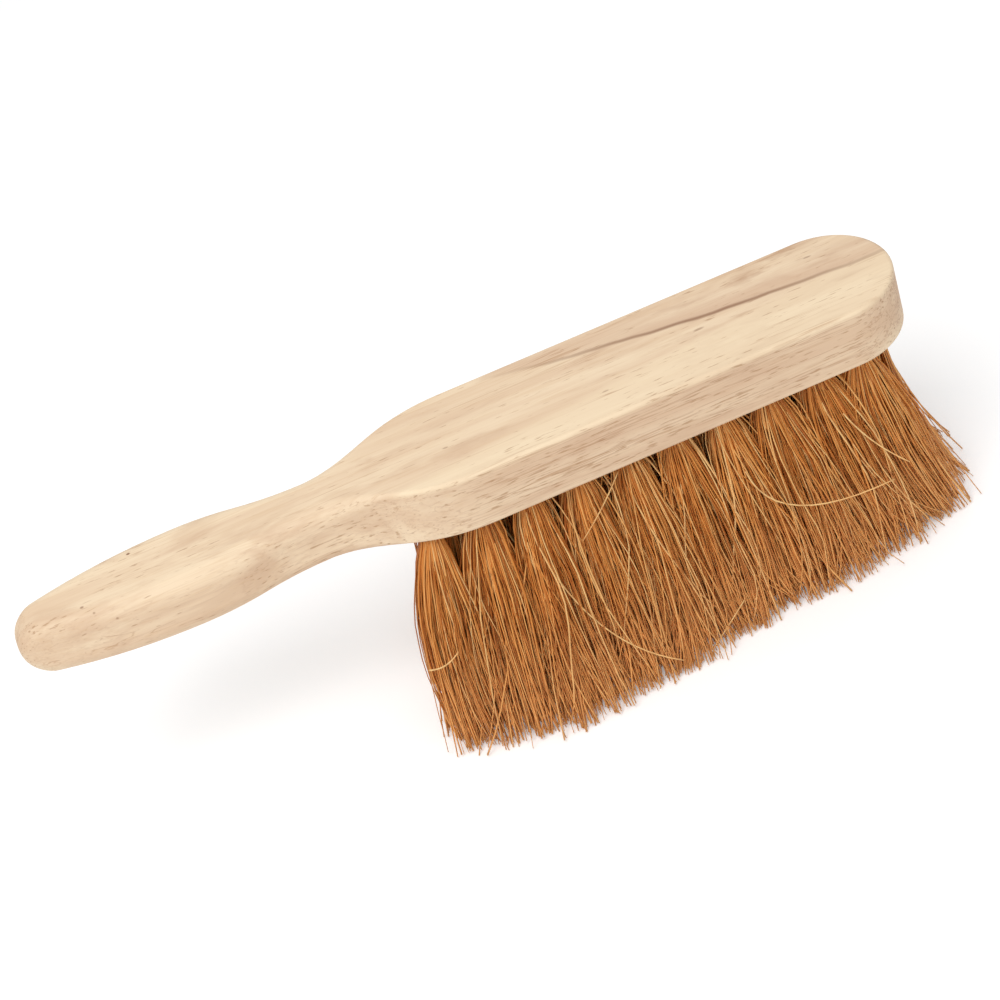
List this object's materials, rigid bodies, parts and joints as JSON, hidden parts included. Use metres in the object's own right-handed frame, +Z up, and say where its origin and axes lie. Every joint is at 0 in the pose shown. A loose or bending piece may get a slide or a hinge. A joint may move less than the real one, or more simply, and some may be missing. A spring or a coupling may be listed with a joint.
{
  "type": "hand broom",
  "caption": "Wooden hand broom: one-piece stock with a round nose and a swelling handle, set with rows of splayed coir tufts for sweeping up.",
  "frame": {"origin": "on the floor under the middle of the whole broom, fibre tips down", "axes": "+X along the stock towards the round nose, +Y across it, +Z up out of the back of the stock"},
  "size_m": [0.2848, 0.0844, 0.0845],
  "materials": {
    "wood": "sanded bare hardwood, pale cream with short brown pores",
    "coir": "coarse coconut fibre, golden brown",
    "anchor_wire": "flat galvanised wire, hidden in the holes"
  },
  "bodies": {
    "root": {"stock": "wood", "tuft_anchors": "anchor_wire", "tuft_front_outer_01": "coir", "tuft_front_outer_02": "coir", "tuft_front_outer_03": "coir", "tuft_front_outer_04": "coir", "tuft_front_outer_05": "coir", "tuft_front_outer_06": "coir", "tuft_front_outer_07": "coir", "tuft_front_outer_08": "coir", "tuft_front_outer_09": "coir", "tuft_front_outer_10": "coir", "tuft_front_inner_01": "coir", "tuft_front_inner_02": "coir", "tuft_front_inner_03": "coir", "tuft_front_inner_04": "coir", "tuft_front_inner_05": "coir", "tuft_front_inner_06": "coir", "tuft_front_inner_07": "coir", "tuft_front_inner_08": "coir", "tuft_front_inner_09": "coir", "tuft_front_inner_10": "coir", "tuft_back_inner_01": "coir", "tuft_back_inner_02": "coir", "tuft_back_inner_03": "coir", "tuft_back_inner_04": "coir", "tuft_back_inner_05": "coir", "tuft_back_inner_06": "coir", "tuft_back_inner_07": "coir", "tuft_back_inner_08": "coir", "tuft_back_inner_09": "coir", "tuft_back_inner_10": "coir", "tuft_back_outer_01": "coir", "tuft_back_outer_02": "coir", "tuft_back_outer_03": "coir", "tuft_back_outer_04": "coir", "tuft_back_outer_05": "coir", "tuft_back_outer_06": "coir", "tuft_back_outer_07": "coir", "tuft_back_outer_08": "coir", "tuft_back_outer_09": "coir", "tuft_back_outer_10": "coir"}
  },
  "joints": []
}
